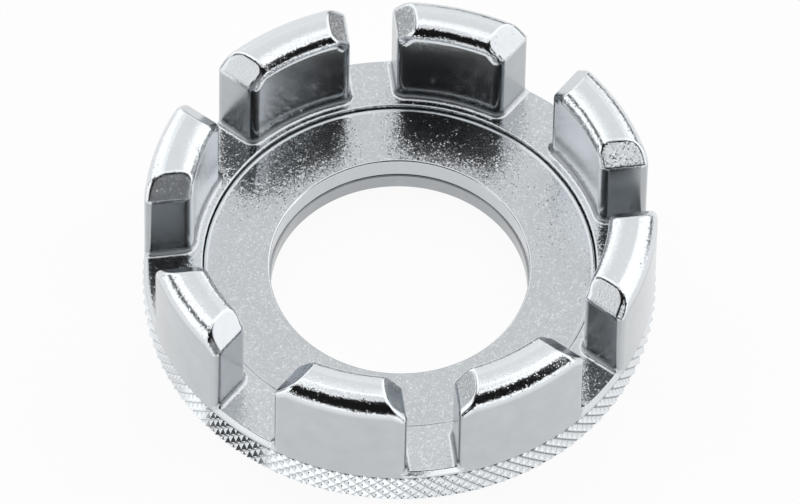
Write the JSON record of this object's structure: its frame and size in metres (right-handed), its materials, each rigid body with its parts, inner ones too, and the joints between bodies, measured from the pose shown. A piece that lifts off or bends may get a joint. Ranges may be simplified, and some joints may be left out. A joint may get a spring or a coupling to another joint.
{
  "type": "spoke wrench",
  "caption": "Round spoke wrench: a knurled base ring under a crown of lugs, whose gaps are slots of different widths for turning spoke nipples, around a plate with a large bore.",
  "frame": {"origin": "on the axis of the bore, at the flat underside that the wrench lies on", "axes": "+Z along the bore axis towards the lugs, +X through the middle of the first slot, +Y through the narrowest slot"},
  "size_m": [0.036, 0.036, 0.0109],
  "materials": {
    "knurled_plate": "bright plating over a diamond knurl",
    "crown_plate": "plating, polished on the rounded edges and satin on the faces",
    "satin_plate": "satin plating with a fine cast grain"
  },
  "bodies": {
    "root": {"base_ring": "knurled_plate", "crown": "crown_plate", "centre_plate": "satin_plate"}
  },
  "joints": []
}
